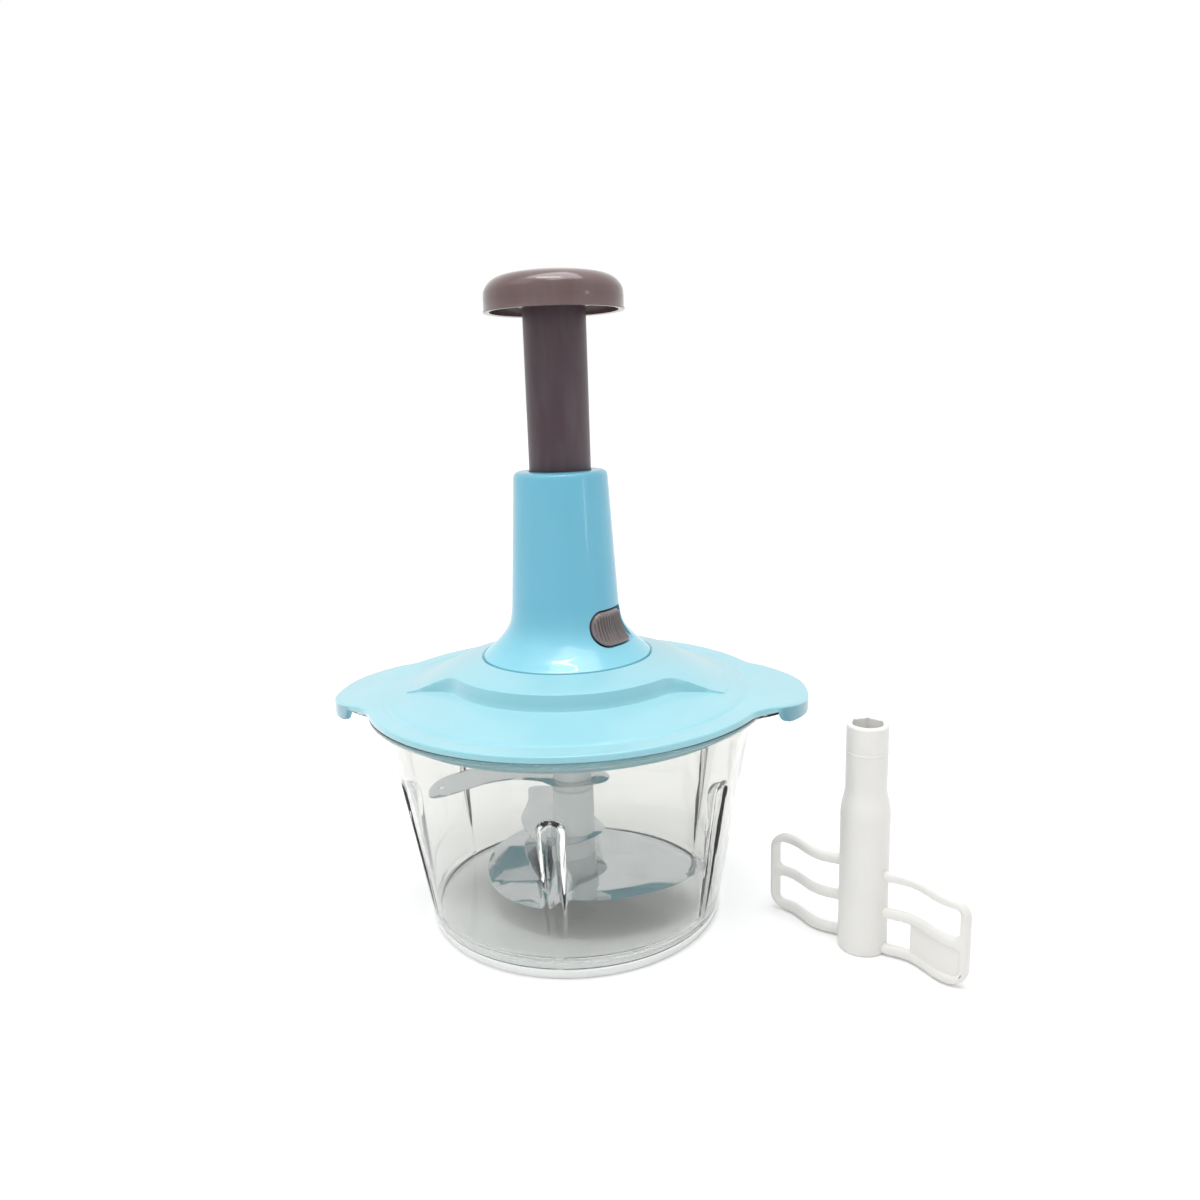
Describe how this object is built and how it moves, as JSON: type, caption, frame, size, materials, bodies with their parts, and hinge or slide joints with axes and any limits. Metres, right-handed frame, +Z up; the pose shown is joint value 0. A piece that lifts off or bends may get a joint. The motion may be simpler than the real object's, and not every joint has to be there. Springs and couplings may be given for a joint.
{
  "type": "plunger food chopper",
  "caption": "Hand food chopper: a sprung plunger on a tower turns sickle blades in a clear lidded bowl through a twisted strip; a separate whisk stands beside it.",
  "frame": {"origin": "centre of the bowl's foot, on the surface it stands on", "axes": "+Z up along the plunger, +X along the lid's right ear, -Y towards the front with the recess in the lid"},
  "size_m": [0.2723, 0.18, 0.2855],
  "materials": {
    "bowl_clear": "clear polished plastic",
    "mat_grey": "translucent grey soft plastic",
    "steel": "polished stainless",
    "hub_white": "milky translucent plastic",
    "lid_aqua": "gloss moulded plastic",
    "tower_blue": "gloss moulded plastic",
    "silicone": "satin silicone",
    "inner_white": "moulded plastic",
    "acetal": "smooth acetal",
    "cap_mauve": "satin moulded plastic",
    "stem_mauve": "satin moulded plastic",
    "spring_steel": "drawn wire",
    "screw_zinc": "zinc plated",
    "whisk_white": "satin moulded plastic"
  },
  "bodies": {
    "bowl": {"mixing_bowl": "bowl_clear", "base_mat": "mat_grey", "pivot_pin": "steel"},
    "lid": {"lid_shell": "lid_aqua", "lid_gasket": "silicone", "bearing_plate": "inner_white", "plate_screws": "screw_zinc", "guide_screws": "screw_zinc", "tower_screws": "screw_zinc", "tower_housing": "tower_blue", "stem_bush": "acetal", "guide_tube": "inner_white", "spring_seat": "screw_zinc", "return_spring": "spring_steel"},
    "plunger": {"push_cap": "cap_mauve", "stem_tube": "stem_mauve", "stop_ring": "acetal", "strip_anchor": "inner_white", "drive_strip": "steel", "cross_pin": "steel"},
    "drive": {"drive_socket": "acetal", "ratchet_ring": "acetal", "drive_nut": "acetal", "clutch_spring": "spring_steel"},
    "lock": {"lock_button": "cap_mauve", "lock_pawl": "steel"},
    "blades": {"blade_hub": "hub_white", "hub_bush": "steel", "lower_blade": "steel", "middle_blade": "steel", "upper_blade": "steel"},
    "whisk": {"whisk": "whisk_white"}
  },
  "joints": [
    {"name": "lid_lift", "type": "slide", "parent": "bowl", "child": "lid", "axis": [0, 0, 1], "range_m": [0, 0.12]},
    {"name": "plunger_slide", "type": "slide", "parent": "lid", "child": "plunger", "axis": [0, 0, -1], "range_m": [0, 0.065], "stiffness_N_per_m": 220, "springref_m": -0.03, "deforming": ["return_spring"]},
    {"name": "drive_spin", "type": "hinge", "parent": "lid", "child": "drive", "pos_m": [0, 0, 0.105], "axis": [0, 0, 1], "continuous": true},
    {"name": "blade_spin", "type": "hinge", "parent": "bowl", "child": "blades", "pos_m": [0, 0, 0.02], "axis": [0, 0, 1], "continuous": true},
    {"name": "lock_slide", "type": "hinge", "parent": "lid", "child": "lock", "pos_m": [0, 0, 0.138], "axis": [0, 0, 1], "range_deg": [0, 11]},
    {"name": "whisk_lift", "type": "slide", "parent": "bowl", "child": "whisk", "axis": [0.6, 0, 0.8], "range_m": [0, 0.12]}
  ],
  "couplings": [
    {"joint": "drive_spin", "follows": "plunger_slide", "rad_per_m": 174.53},
    {"joint": "blade_spin", "follows": "plunger_slide", "rad_per_m": 174.53}
  ]
}
